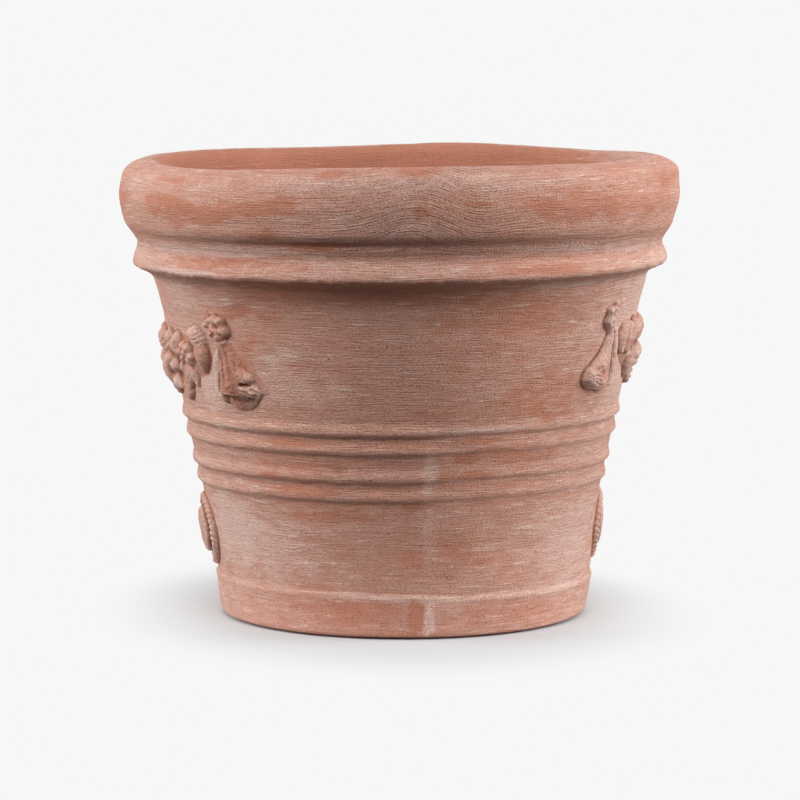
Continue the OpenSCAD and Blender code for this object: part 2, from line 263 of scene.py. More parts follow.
def fired_clay(name, bloom, drag, grit, shade_and_dirt):
    """Coarse terracotta, fired, with a bloom of calcium salts. Low-fired earthenware is matt and porous: it
    has almost no gloss, a bump of grog from 0.3 to 2 mm, and salts dried on it as a pale pink bloom. The
    numbers stored on the pieces also paint light and shade into its colour: paler bloom where light
    falls, and darker clay in crevices and under things."""
    material = bpy.data.materials.new(name)
    tree = cleared(material)
    make = partial(made, tree)
    maths = partial(math_node, tree)
    plus = partial(maths, "ADD")
    times = partial(maths, "MULTIPLY")
    place = add(tree, "ShaderNodeTexCoord").outputs["Object"]
    millimetres = make("ShaderNodeVectorMath", {0: place, 1: (1000, 1000, 1000)}, operation="MULTIPLY")
    swirl, combed, bloom_and_painted_light, worn, hollow = (
        add(tree, "ShaderNodeAttribute", attribute_name=stored).outputs["Fac"]
        for stored in ("swirl", "combed", "bloom", "worn", "hollow"))
    parts = add(tree, "ShaderNodeSeparateXYZ", {0: millimetres}).outputs
    sway = make("ShaderNodeTexNoise", {"Vector": millimetres, "Scale": 1 / 55, "Detail": 2})
    level = maths("MULTIPLY_ADD", sway, 5.0, plus(parts[2], swirl))
    dragged = make("ShaderNodeCombineXYZ", {0: parts[0], 1: parts[1], 2: level})

    def noise(vector, scale, detail, roughness):
        return make("ShaderNodeTexNoise", {"Vector": vector, "Scale": scale, "Detail": detail,
                                           "Roughness": roughness})

    def streaks(long, tall, detail, roughness):
        """Marks about as long and tall as given, in mm, drawn out round the pot."""
        vector = make("ShaderNodeVectorMath", {0: dragged, 1: (1 / long, 1 / long, 1 / tall)},
                      operation="MULTIPLY")
        return noise(vector, 1, detail, roughness)

    def spots(size, detail, roughness):
        """Spots about as large as given, in mm."""
        return noise(millimetres, 1 / size, detail, roughness)

    def between(value, low, high, to_low=0, to_high=1):
        return make("ShaderNodeMapRange", {"Value": value, "From Min": low, "From Max": high,
                                           "To Min": to_low, "To Max": to_high})

    def blend(factor, under, over):
        return mixed(tree, factor, under, linear(over))

    def clamped(value):
        return make("ShaderNodeClamp", {0: value})

    fibres = streaks(14, 0.95, 2, 0.6)
    wisps = streaks(50, 2.6, 3, 0.6)
    grains = spots(1.2, 2, 0.7)
    clouds = spots(48, 3, 0.55)
    patches = spots(14, 3, 0.6)

    # The comb's lines wander and break
    wander = times(streaks(70, 7, 2, 0.5), 10)
    phase = maths("MULTIPLY_ADD", level, 2 * math.pi / COMB_STEP, wander)
    groove = between(maths("SINE", phase), 0.1, 0.95)
    groove = times(groove, between(streaks(20, 2.4, 2, 0.6), 0.40, 0.62, 0.15, 1))
    groove = times(groove, times(combed, drag))
    coarse = times(between(combed, 0, 1, 0.65, 1.15), grit)

    # How much bloom lies on the clay, from 0 to 1, with the pieces' painted light added to it and their wear
    # and painted shade taken from it
    film = between(clouds, 0.3, 0.7, -0.08, 0.08)
    film = plus(film, between(patches, 0.3, 0.7, -0.07, 0.07))
    # Where the comb went last, the bloom lies more evenly
    uneven = times(between(combed, 0.2, 0.55, 1, 0.5), drag)
    streaked = plus(between(wisps, 0.3, 0.7, -0.13, 0.13), between(fibres, 0.3, 0.7, -0.24, 0.24))
    film = plus(film, times(streaked, uneven))
    film = plus(plus(film, bloom_and_painted_light), bloom)
    film = clamped(maths("SUBTRACT", film, worn))

    colour = blend(between(clouds, 0.35, 0.65), linear(CLAY_WARM), CLAY_DULL)
    colour = blend(film, colour, BLOOM_PINK)
    scratch = times(between(fibres, 0.58, 0.68), between(wisps, 0.50, 0.60))
    scratch = times(times(scratch, drag * 0.85), between(film, 0.1, 0.6))
    colour = blend(scratch, colour, SALT_PALE)
    # Painted shade darkens the comb's grooves, which the bump also sinks
    colour = blend(times(groove, 0.54), colour, GROOVE_SHADE_DARK)
    speck = times(between(grains, 0.46, 0.30, 0, 0.7), coarse)
    colour = blend(speck, colour, GROG_DARK)
    light_speck = times(between(grains, 0.55, 0.70, 0, 0.6), times(coarse, film))
    colour = blend(light_speck, colour, SALT_PALE)
    # Painted shade, with some grime: darker clay in the crease, under the collar and the ribs, at the foot's
    # lower edge and in the reliefs' hollows and slits
    colour = blend(clamped(times(hollow, shade_and_dirt)), colour, SHADE_AND_GRIME_DARK)

    # Painted shade darkens the pits, which the bump also sinks
    pits = make("ShaderNodeTexVoronoi", {"Vector": millimetres, "Scale": 1 / 9.0, "Randomness": 1})
    pit = times(between(pits, 0.10, 0.04), between(patches, 0.55, 0.6))
    colour = blend(times(pit, 0.7), colour, PIT_SHADE_DARK)

    # The bump's height, in mm
    height = times(fibres, 0.8 * drag)
    height = maths("SUBTRACT", height, times(groove, 0.38))
    height = plus(height, times(wisps, 0.5 * drag))
    height = plus(height, times(grains, times(coarse, 1.1)))
    height = maths("SUBTRACT", height, times(pit, 0.5))
    bump = make("ShaderNodeBump", {"Strength": 1.0, "Distance": MM, "Height": height})
    shader = make("ShaderNodeBsdfPrincipled", {"Base Color": colour, "Roughness": 0.88, "IOR": 1.5,
                                               "Specular IOR Level": 0.3, "Normal": bump})
    add(tree, "ShaderNodeOutputMaterial", {0: shader})
    return material


dragged_clay = fired_clay("terracotta_dragged", bloom=0.33, drag=1.0, grit=1.0, shade_and_dirt=0.6)
pressed_clay = fired_clay("terracotta_pressed", bloom=0.36, drag=0.0, grit=1.0, shade_and_dirt=0.65)
bare_clay = fired_clay("terracotta_bare", bloom=0.02, drag=0.2, grit=0.4, shade_and_dirt=0.4)


# Turned pieces
def turned_clay_tree():
    """Geometry Nodes: turns an outline of points into a ring of clay, with the tool's marks on it."""
    tree = bpy.data.node_groups.new("turned_clay", "GeometryNodeTree")
    new = tree.interface.new_socket
    new("Outline", in_out="INPUT", socket_type="NodeSocketGeometry")
    new("Clay", in_out="OUTPUT", socket_type="NodeSocketGeometry")
    for name in ("Rows", "Segments"):
        new(name, in_out="INPUT", socket_type="NodeSocketInt")
    for name in ("Mark depth", "Mark length", "Mark height", "Lump depth", "Lump size"):
        new(name, in_out="INPUT", socket_type="NodeSocketFloat")
    new("Material", in_out="INPUT", socket_type="NodeSocketMaterial")
    given = add(tree, "NodeGroupInput").outputs
    make = partial(made, tree)
    maths = partial(math_node, tree)
    plus = partial(maths, "ADD")
    times = partial(maths, "MULTIPLY")
    position = make("GeometryNodeInputPosition")
    grid = make("GeometryNodeMeshGrid", {"Size X": 1, "Size Y": 1, "Vertices X": plus(given["Segments"], 1),
                                         "Vertices Y": given["Rows"]})
    where = add(tree, "ShaderNodeSeparateXYZ", {0: position}).outputs
    row = times(plus(where[1], 0.5), maths("SUBTRACT", given["Rows"], 1))
    row = make("FunctionNodeFloatToInt", {0: row}, rounding_mode="ROUND")
    outline = make("GeometryNodeSampleIndex", {"Geometry": given["Outline"], "Value": position, "Index": row},
                   data_type="FLOAT_VECTOR", domain="POINT")
    flat = add(tree, "ShaderNodeSeparateXYZ", {0: outline}).outputs
    angle = times(plus(where[0], 0.5), 2 * math.pi)
    ring = make("ShaderNodeCombineXYZ", {0: times(flat[0], maths("COSINE", angle)),
                                         1: times(flat[0], maths("SINE", angle)), 2: flat[2]})
    clay = make("GeometryNodeSetPosition", {"Geometry": grid, "Position": ring})
    clay = make("GeometryNodeMergeByDistance", {"Geometry": clay, "Distance": 1e-6})
    spot = add(tree, "ShaderNodeSeparateXYZ", {0: position}).outputs
    drawn = make("ShaderNodeCombineXYZ", {0: maths("DIVIDE", spot[0], given["Mark length"]),
                                          1: maths("DIVIDE", spot[1], given["Mark length"]),
                                          2: maths("DIVIDE", spot[2], given["Mark height"])})
    marks = make("ShaderNodeTexNoise", {"Vector": drawn, "Scale": 1, "Detail": 3})
    lumps = make("ShaderNodeTexNoise", {"Vector": position, "Scale": maths("DIVIDE", 1, given["Lump size"]),
                                        "Detail": 2})
    out = times(maths("SUBTRACT", marks, 0.5), given["Mark depth"])
    out = maths("MULTIPLY_ADD", maths("SUBTRACT", lumps, 0.5), given["Lump depth"], out)
    offset = make("ShaderNodeVectorMath", {0: make("GeometryNodeInputNormal"), "Scale": out},
                  operation="SCALE")
    clay = make("GeometryNodeSetPosition", {"Geometry": clay, "Offset": offset})
    clay = make("GeometryNodeSetShadeSmooth", {"Geometry": clay})
    clay = make("GeometryNodeRealizeInstances", {"Geometry": clay})
    clay = make("GeometryNodeSetMaterial", {"Geometry": clay, "Material": given["Material"]})
    add(tree, "NodeGroupOutput", {0: clay})
    return tree


def placed(name, data):
    """A new object in the scene."""
    thing = bpy.data.objects.new(name, data)
    bpy.context.scene.collection.objects.link(thing)
    return thing


def set_points(mesh, points):
    mesh.vertices.foreach_set("co", np.ascontiguousarray(points, dtype=np.float32).ravel())
    mesh.update()


def get_points(mesh):
    points = np.empty(len(mesh.vertices) * 3, dtype=np.float32)
    mesh.vertices.foreach_get("co", points)
    return points.reshape(-1, 3).astype(float)


def signed_volume(mesh):
    mesh.calc_loop_triangles()
    corners = np.empty(len(mesh.loop_triangles) * 3, dtype=np.int32)
    mesh.loop_triangles.foreach_get("vertices", corners)
    a, b, c = get_points(mesh)[corners.reshape(-1, 3)].transpose(1, 0, 2)
    return np.einsum("ij,ij->i", a, np.cross(b, c)).sum() / 6


def give(mesh, **stored):
    """Stores numbers for each vertex, which the clay's material reads by name."""
    for name, values in stored.items():
        attribute = mesh.attributes.new(name, "FLOAT", "POINT")
        attribute.data.foreach_set("value", np.asarray(values, dtype=np.float32))


TURNED = turned_clay_tree()


def turned(name, outline, segments, material, mark_depth, lump_depth, marks=None):
    """A ring of clay from a closed outline of (radius, height) in mm. Marks is a function that
    moves its points before the hand does."""
    name = "clay_" + name
    mesh = bpy.data.meshes.new(name)
    mesh.from_pydata([(r * MM, 0, z * MM) for r, z in outline], [], [])
    piece = placed(name, mesh)
    modifier = piece.modifiers.new("turned", "NODES")
    modifier.node_group = TURNED
    sizes = {"Rows": len(outline), "Segments": segments, "Mark depth": mark_depth * MM,
             "Mark length": 60 * MM, "Mark height": 3.5 * MM, "Lump depth": lump_depth * MM,
             "Lump size": 55 * MM, "Material": material}
    for item in TURNED.interface.items_tree:
        if item.in_out == "INPUT" and item.name in sizes:
            modifier[item.identifier] = sizes[item.name]
    solid = bpy.data.meshes.new_from_object(piece.evaluated_get(bpy.context.evaluated_depsgraph_get()))
    piece.modifiers.clear()
    piece.data = solid
    solid.name = name
    if signed_volume(solid) < 0:
        solid.flip_normals()
    points = get_points(solid) / MM
    shaped = hand_shaped(marks(points) if marks else points)
    set_points(solid, shaped * MM)
    surface(solid, points)
    return piece


def polyline(points, step):
    """Points along a line at most a step apart."""
    points = np.array(points, float)
    out = [points[0]]
    for a, b in zip(points, points[1:]):
        count = max(1, math.ceil(np.linalg.norm(b - a) / step))
        out += [a + (b - a) * k / count for k in range(1, count + 1)]
    return out


def rounded(points, step):
    """A smooth curve through points, sampled about a step apart."""
    points = np.array(points, float)
    ends = np.concatenate([2 * points[:1] - points[1:2], points, 2 * points[-1:] - points[-2:-1]])
    out = [points[0]]
    for a, b, c, d in zip(ends, ends[1:], ends[2:], ends[3:]):
        count = max(1, math.ceil(np.linalg.norm(c - b) / step))
        out += [between_knots(a, b, c, d, k / count) for k in range(1, count + 1)]
    return out


# Orange places where the bloom is rubbed off, and pale ones where it has gathered:
# view angle, height, half-width in degrees, half-height, strength
WORN = [(-54, 303, 10, 6, 0.6), (-48, 294, 12, 9, 0.4), (-38, 296, 9, 7, 0.35), (-27, 300, 7, 7, 0.45),
        (-27, 282, 4, 6, 0.5), (-17, 274, 9, 2.6, 0.8), (-53, 317, 6, 2.6, 0.4), (-80, 300, 8, 12, 0.4),
        (-46, 260, 20, 4.5, 0.5), (37, 299, 12, 11, 0.36), (52, 296, 10, 12, 0.25), (30, 294, 1.7, 12, 0.35),
        (46, 296, 2, 10, 0.25), (15.3, 301, 2.8, 1.5, 0.9), (4, 322, 4, 4, 0.6), (-14, 321, 3, 3, 0.5),
        (4, 296, 1.8, 4, 0.5), (32, 256, 11, 3, 0.35), (66, 300, 7, 12, 0.25), (74, 314, 12, 6, 0.2),
        (-30, 137, 12, 2.5, 0.35), (-26, 120, 14, 4, 0.35), (-38, 113, 6, 2, 0.5), (20, 137, 9, 3, 0.4),
        (17.5, 125, 3, 4, 0.5), (16, 113, 8, 2.6, 0.45), (-24, 103, 12, 2.5, 0.45), (3.5, 93, 2.4, 3, 0.6),
        (28, 126, 16, 5, 0.3), (3.4, 18, 2.9, 12, 0.8), (-15, 20, 22, 9, 0.3), (34, 17, 20, 10, 0.25),
        (-39, 197, 7, 11, 0.6), (12, 60, 12, 18, 0.25), (-20, 86, 16, 4, 0.4), (26, 158, 22, 9, 0.25),
        (-40, 225, 6, 6, 0.25), (30, 225, 20, 14, 0.3), (50, 170, 16, 30, 0.35), (-45, 228, 20, 7, 0.3)]
LIMED = [(-62, 312, 16, 9, 0.12), (-70, 262, 20, 8, 0.25), (-58, 70, 14, 30, 0.5), (-40, 60, 14, 26, 0.25),
         (-34, 196, 9, 9, 0.45), (-54, 175, 8, 17, 1.1), (-30, 175, 14, 14, 0.3), (-58, 232, 14, 9, 0.3),
         (7.4, 14, 1.7, 14, 0.9), (0, 29, 25, 3, 0.45), (45, 31, 24, 3, 0.3), (72, 200, 15, 60, 0.4),
         (60, 60, 20, 30, 0.3), (7.6, 115, 1.8, 24, 0.4), (7.6, 70, 2.2, 24, 0.25), (-10, 258, 27, 5, 0.22),
         (-45, 268, 25, 3.5, 0.45), (-50, 252.5, 12, 1.6, 0.5), (36, 270, 17, 3, 0.35), (58, 268, 16, 4, 0.3),
         (71, 190.5, 3.2, 4, 1.3), (40, 243, 12, 2.5, 0.5), (0, 315, 40, 6, 0.25), (24, 146, 20, 2, 0.4),
         (-8, 285, 20, 14, 0.12)]


def surface(mesh, points):
    """What the hand and the weather left on the clay: comb marks, bloom and rubbed places, with grime,
    painted shade in the crease, under the collar and the ribs and at the foot's lower edge, and painted light
    on the rib crests and the lit sides.
    """
    x, y, z = points.T
    angle = np.degrees(np.arctan2(y, x))
    view = view_angle(angle)
    radius = np.hypot(x, y)
    depth = wall_radius(np.clip(z, 31, 300)) - radius
    inside = ramp(depth, 5, 9) * (z < 312) + ramp(radius, 178, 172) * ramp(z, 308, 316)
    inside = np.clip(inside, 0, 1)
    outside = 1 - inside
    light_end = bell(view, 100, 36)
    worn = inside * (0.75 - 0.75 * light_end)
    bloom_and_painted_light = inside * 0.3 * light_end
    rough = lattice_noise(view * 2.6 + 500, z, 9, 5, 5, 4)
    for rows, out, edge in ((WORN, worn, 0.5), (LIMED, bloom_and_painted_light, 0.35)):
        for at, high, half, tall, strength in rows:
            d = np.hypot((view - at) / half, (z - high) / tall) + edge * rough
            out += outside * strength * (1 - ramp(d, 0.55, 1.25))
    # Painted highlight: paler bloom along the rib crests and the foot band's upper edge, broken up by noise
    crest = np.zeros(len(x))
    for low in RIBS:
        crest = np.maximum(crest, bell(z, low + 4.2, 2.2))
        worn += outside * 0.12 * bell(z, low - 4, 3)
    crest = np.maximum(crest, 0.9 * bell(z, FOOT_H - 2, 2.2))
    bloom_and_painted_light += outside * 0.08 * crest * ramp(lattice_noise(view * 2.6 + 900, z, 26, 30, 9, 2), -0.5, 0.5)
    # Painted light: paler bloom on both sides of the picture, where the side lamps fall, less of it on the
    # rim
    bloom_and_painted_light += outside * (0.24 * ramp(-view, 24, 62) + 0.2 * ramp(view, 28, 62)) * (1 - 0.7 * ramp(z, 255, 275))
    front = bell(view, -14, 38)
    # Painted shade along the crease between rim and collar, deepest left of the front, and a thin painted
    # dark line in the cove at 265 mm
    hollow = 0.95 * bell(z, 275.3, 1.9) * bell(view, -16, 27) + 0.3 * bell(z, 265.3, 1.0)
    # Painted shade on the collar's underside and on the wall just under it, strongest near the front: the
    # clay is darkened and its bloom taken off
    under = ramp(z, 239, 245) * (1 - ramp(z, 248.4, 250.2))
    hollow += under * (0.12 + 0.65 * front)
    hollow += 0.35 * bell(z, 237, 6) * front * (z < 240)
    worn += outside * 0.5 * ramp(z, 228, 240) * (1 - ramp(z, 248, 250.5)) * front
    # Painted shadow lines under the ribs, strongest left of the mould's seam
    shaded = 0.15 + 0.85 * bell(view, -22, 34) * (1 - ramp(view, 3, 15))
    for low in RIBS:
        hollow = np.maximum(hollow, 0.6 * bell(z, low - 0.9, 1.0) * shaded)
    # Painted contact shade at the foot's lower edge
    hollow = np.maximum(hollow, 1.4 * ramp(z, 3.4, 0.8))
    hollow = hollow * outside
    # On the rim the marks run like wood grain round a knot, and dip beside it
    dip = 11 * bell(view, 3, 9) * (1 - 0.35 * ramp(z, 300, 322))
    swirl = ramp(z, 267, 283) * (4.5 * bell(view, 15, 7) - dip)
    on_rim = ramp(z, 264, 272)
    combed = on_rim * (0.3 + 0.7 * bell(view, 2, 30)) + (1 - on_rim) * (0.18 + 0.34 * bell(view, -2, 28))
    combed = combed * (1 - 0.85 * inside) * (1 - 0.5 * under)
    worn = worn * (1 - 0.22 * outside)
    give(mesh, bloom=bloom_and_painted_light, worn=worn, hollow=hollow, swirl=swirl, combed=combed)


# Outlines of the turned pieces, as (radius, height)
def wall_outline():
    foot = rounded([(122.5, 0), (126, 1.0), (129, 3.4), (130.3, 8)], 1.2)
    foot += rounded([(130.3, 8), (131.2, 16), (132.3, 26), (132.9, 28.5), (132.6, 30.3), (131.2, 31.8)], 1.2)
    heights = np.concatenate([np.arange(33, NECK_Z + 2, 1.08), np.linspace(NECK_Z + 4, WALL_TOP, 9)])
    outside = [(wall_radius(z) + rib_height(z), z) for z in heights]
    inside = [(float(inside_radius(z)), z) for z in np.linspace(WALL_TOP, FLOOR_Z, 26)]
    under = [(float(inside_radius(0)), 0), (112, 0), (122.5, 0)]
    return foot + outside + inside + under


def rim_outline():
    outside = rounded([(183.5, 260.5), (186.2, 262.4), (187.1, 266), (189.5, 270.4), (192.6, 274.6),
                       (195.6, 279), (197.3, 283.2), (198.5, 289), (199.6, 295), (199.9, 300),
                       (199.2, 306), (198, 312), (196, 317), (192.2, 320.6), (186.3, 323.6),
                       (179, 325), (173.5, 323.6), (170.6, 319.8),
                       (169.3, 314), (168.4, 307), (167.4, 300), (166.0, 292)], 1.15)
    under = polyline([(166.0, 292), (168, 291), (176, 299), (188, 299), (181, 262), (183.5, 260.5)], 6)
    return outside + under[1:]


def collar_outline():
    outside = rounded([(172.2, 233), (174.3, 237), (175.6, 240.6), (177.8, 243.4), (181.4, 245.8),
                       (185.6, 247.9), (188.8, 249.5), (190.2, 251.4), (190.1, 254.2), (189.1, 258.0),
                       (187.9, 261.5), (187.5, 265), (187.7, 268), (188.6, 271.4), (189.4, 273)], 0.8)
    return outside + polyline([(189.4, 273), (184, 270), (179, 262), (170, 243), (172.2, 233)], 6)[1:]


def slab_outline():
    edge = float(inside_radius(FLOOR_Z)) + 0.5
    return polyline([(DRAIN_R, SLAB_UNDER), (edge - 2, SLAB_UNDER), (edge, FLOOR_Z)], 6) \
        + polyline([(edge, FLOOR_Z), (DRAIN_R + 2.5, FLOOR_Z)], 4)[1:] \
        + rounded([(DRAIN_R + 2.5, FLOOR_Z), (DRAIN_R + 0.6, FLOOR_Z - 1), (DRAIN_R, FLOOR_Z - 3)], 0.8)[1:] \
        + polyline([(DRAIN_R, FLOOR_Z - 3), (DRAIN_R, SLAB_UNDER)], 4)[1:]


def coil_outline():
    corner = (float(inside_radius(FLOOR_Z)) + 1, FLOOR_Z - 1)
    high = (float(inside_radius(FLOOR_Z + SEAM_LEG)) + 0.3, FLOOR_Z + SEAM_LEG)
    low = (corner[0] - 1 - SEAM_LEG, FLOOR_Z - 0.3)
    cove = rounded([high, (high[0] - 3.5, FLOOR_Z + 7.5), (high[0] - 7, FLOOR_Z + 3), low], 1)
    return cove + [corner, high]


def ragged_collar(points):
    """The collar's lower lip, where the roller tore the clay."""
    x, y, z = points.T
    angle = np.degrees(np.arctan2(y, x)) + 180
    lip = bell(z, 250.2, 2.2)
    tear = lattice_noise(angle * 3.1, z * 0 + 3, 14, 9, 31, 4)
    bits = np.maximum(lattice_noise(angle * 3.1, z * 0 + 8, 3.2, 9, 47, 2) - 0.3, 0)
    z = z - lip * (0.5 * tear + 1.1 * bits)
    return np.stack([x, y, z], axis=1)


# Name, outline, segments, clay, depth of the marks and of the lumps in mm, and any further marks
TURNED_PIECES = [("pot_wall", wall_outline(), 368, dragged_clay, 0.35, 0.9),
                 ("rolled_rim", rim_outline(), 560, dragged_clay, 0.5, 1.4),
                 ("collar_bead", collar_outline(), 640, dragged_clay, 0.5, 0.8, ragged_collar),
                 ("base_slab", slab_outline(), 160, bare_clay, 0.3, 0.6),
                 ("seam_coil", coil_outline(), 200, bare_clay, 0.4, 0.8)]
pieces = {row[0]: turned(*row) for row in TURNED_PIECES}


# Pressed reliefs. Heights are over the wall, in mm: DEEP is well inside it, EDGE is where a plate
# ends, and BACK is its back, bedded in the wall
DEEP = -6
EDGE = -0.7
BACK = -2.5


def turned_by(u, v, degrees):
    """Coordinates in a form turned clockwise, seen from outside with u to the right."""
    c, s = math.cos(math.radians(degrees)), math.sin(math.radians(degrees))
    return u * c - v * s, u * s + v * c


def mound(x, y, half_x, half_y, high):
    """A round fruit: half an ellipsoid of the given height, falling off steeply beyond its edge."""
    d = (x / half_x) ** 2 + (y / half_y) ** 2
    return np.maximum(high * np.maximum(1 - d, 0) ** 0.62 - 4 * np.maximum(d - 1, 0), DEEP)


def gourd(x, y, half_x, half_y, high, lobes=5):
    """A ribbed fruit, its grooves running from stalk to flower."""
    base = mound(x, y, half_x, half_y, high)
    across = y / (half_y * np.sqrt(np.maximum(1 - (x / half_x) ** 2, 0.05)))
    lobe = np.abs(np.sin(np.arcsin(np.clip(across, -1, 1)) * lobes / 2 + 0.4))
    return np.where(base > 0, base - 1.4 * (1 - lobe) ** 1.6, base)


def shell(x, y, half_x, half_y, high):
    """A fruit with a pointed top and three grooves bowed round it."""
    taper = 1 - 0.4 * ramp(y / half_y, -0.1, 1.2)
    base = mound(x / taper, y, half_x, half_y, high)
    ring = np.hypot(x / half_x * half_y, y - half_y * 0.95)
    for share, deep in ((0.75, 0.9), (1.05, 1.4), (1.35, 1.3)):
        base = base - deep * bell(ring, share * half_y, 0.55) * (base > 0) * ramp(-x / half_x, -0.9, 0.6)
    return base


def leaf(x, y, half_x, half_y, high):
    """A pointed oval leaf, domed, with a midrib cut down to its foot."""
    t = np.clip(y / half_y, -1, 1)
    half = half_x * (1 - np.abs(t) ** 2.2).clip(0) ** 0.8 + 0.02
    s = x / half
    blade = high * (1 - s * s).clip(0) ** 0.55 * (0.6 + 0.4 * np.sqrt((1 - np.abs(t)).clip(0)))
    blade = blade - 0.28 * high * bell(s, 0.12, 0.1) * ramp(t, -0.9, -0.5) * ramp(-t, -0.8, -0.4)
    beyond = 5 * np.maximum(np.abs(s) - 1, 0) * half / 2 + 30 * np.maximum(np.abs(y / half_y) - 1, 0)
    return np.maximum(np.where(np.abs(s) < 1, blade, 0) - beyond, DEEP)


def berries(x, y, half_x, half_y, high):
    """A bunch of berries on a low mound."""
    layers = [mound(x, y, half_x, half_y, high * 0.72)]
    size_x, size_y = half_x / 2.5, half_y / 2.1
    for row, count in enumerate((2, 3, 2)):
        for i in range(count):
            a, b = (i - (count - 1) / 2) * size_x * 1.55, (1 - row) * size_y * 1.25
            rise = high * (1 - 0.25 * ((a / half_x) ** 2 + (b / half_y) ** 2))
            layers.append(mound(x - a, y - b, size_x, size_y, rise))
    return together(layers, 0.25)


SHAPES = {"mound": mound, "gourd": gourd, "shell": shell, "leaf": leaf, "berries": berries}


def laid(rows, x, y):
    """The heights of forms laid out in rows of kind, place towards the swag's middle and down from
    the rosette, half-sizes, height, turn and paleness; and the paleness of each."""
    layers = []
    x = x + 1.3 * lattice_noise(x + 500, y + 500, 11, 11, 71, 2)
    y = y + 1.1 * lattice_noise(x + 800, y + 800, 11, 11, 72, 2)
    for kind, across, down, half_x, half_y, high, turn, _ in rows:
        layers.append(SHAPES[kind](*turned_by(x - across, y + down, turn), half_x, half_y, high))
    return layers, [row[-1] for row in rows]


def together(layers, soft):
    """The layers' highest, with soft joins about as wide as soft."""
    stack = np.stack(layers)
    top = stack.max(axis=0)
    return top + soft * np.log(np.exp((stack - top) / soft).sum(axis=0)) * (top > DEEP + 1)


def paleness(layers, values):
    """How pale the highest layer is at each spot."""
    return softened(np.array(values, float)[np.argmax(np.stack(layers), axis=0)], 6)


def softened(height, passes):
    """Rounds off the sharpest edges, as slip and firing do."""
    for _ in range(passes):
        pad = np.pad(height, 1, mode="edge")
        height = (pad[1:-1, 1:-1] * 4 + pad[:-2, 1:-1] + pad[2:, 1:-1] + pad[1:-1, :-2] + pad[1:-1, 2:]) / 8
    return height


def relief(name, middle, u_range, v_range, form, step, soft, seed):
    """A pressed relief on the wall, as a closed plate that is bedded in it. Its form gives the
    height, how pale it is, and the painted shade and other darkening it gets in slits and creases, at
    distances u round the wall and v up it, in mm. It is cut in steps, and softened in soft passes."""
    us = np.arange(u_range[0], u_range[1] + step, step)
    vs = np.arange(v_range[0], v_range[1] + step, step)
    u, v = np.meshgrid(us, vs, indexing="ij")
    height, pale, slit_shade = form(u, v)
    height = softened(height, soft)
    # The foot of the relief runs out into the wall in a fillet
    fillet = 0.35 * np.log1p(np.exp(np.clip(height / 0.35, -30, 30))) * (height > -3)
    height = fillet - 0.12 + np.minimum(height + 1, 0)
    skin = lattice_noise(u + 300, v + 300, 7, 6, seed, 3) * 0.42
    skin = skin + lattice_noise(u + 90, v + 90, 1.7, 1.4, seed + 9, 2) * 0.16
    height = height + skin * ramp(height, 0, 1.5)
    # How much each spot stands over its neighbourhood, small and large
    near, far = (height - softened(height, round((reach / step) ** 2 * 4)) for reach in (0.9, 2.6))
    inside = height > EDGE
    cell = inside[:-1, :-1] & inside[1:, :-1] & inside[:-1, 1:] & inside[1:, 1:]
    used = np.zeros(inside.shape, bool)
    for a in (slice(None, -1), slice(1, None)):
        for b in (slice(None, -1), slice(1, None)):
            used[a, b] |= cell
    number = -np.ones(inside.shape, int)
    number[used] = np.arange(used.sum())
    count = int(used.sum())

    def set_on_wall(h):
        radius = wall_radius(v[used])
        angle = math.radians(middle) + u[used] / wall_radius(np.mean(v_range))
        slope = np.where(v[used] < KNEE_Z, LOW_RISE, HIGH_RISE)
        lean = 1 / np.sqrt(1 + slope ** 2)
        r = radius + h * lean
        return np.stack([r * np.cos(angle), r * np.sin(angle), v[used] - h * slope * lean], axis=1)

    points = np.concatenate([set_on_wall(height[used]), set_on_wall(np.full(count, BACK))])
    i, j = np.nonzero(cell)
    quads = np.stack([number[i, j], number[i + 1, j], number[i + 1, j + 1], number[i, j + 1]], axis=1)
    edges = {}
    for quad in quads:
        for a, b in zip(quad, np.roll(quad, -1)):
            if (b, a) in edges:
                del edges[(b, a)]
            else:
                edges[(a, b)] = 1
    sides = np.array([(b, a, a + count, b + count) for a, b in edges])
    faces = np.concatenate([quads, quads[:, ::-1] + count, sides])
    name = "clay_" + name
    mesh = bpy.data.meshes.new(name)
    mesh.from_pydata([tuple(p) for p in hand_shaped(points) * MM], [], faces.tolist())
    if signed_volume(mesh) < 0:
        mesh.flip_normals()
    mesh.polygons.foreach_set("use_smooth", [True] * len(mesh.polygons))
    mesh.materials.append(pressed_clay)
    # Painted highlight and shade by how each spot stands: raised spots get paler bloom, low spots lose bloom,
    # and low spots and slits are darkened
    crest = np.clip(near[used] * 1.6 + far[used] * 0.35, -1.2, 1)
    bloom_and_painted_light = 0.4 * np.maximum(crest, 0) + 0.1 + 0.1 * lattice_noise(u[used] + 50, v[used], 12, 12, seed + 3, 2)
    bloom_and_painted_light = bloom_and_painted_light + np.maximum(pale[used], 0)
    rubbed = lattice_noise(u[used], v[used] + 70, 16, 16, seed + 5, 2)
    worn = 0.45 * np.maximum(-crest, 0) + 0.2 * ramp(rubbed, 0.1, 0.7)
    worn = worn + np.maximum(-pale[used], 0)
    hollow = np.clip(-near[used] * 1.5 - far[used] * 0.3 + slit_shade[used], 0, 1.2)
    back = np.zeros(count)
    give(mesh, bloom=np.concatenate([bloom_and_painted_light, back]), worn=np.concatenate([worn, back]),
         hollow=np.concatenate([hollow, back + 0.5]), swirl=np.concatenate([back, back]),
         combed=np.concatenate([back + 0.3, back]))
    return placed(name, mesh)


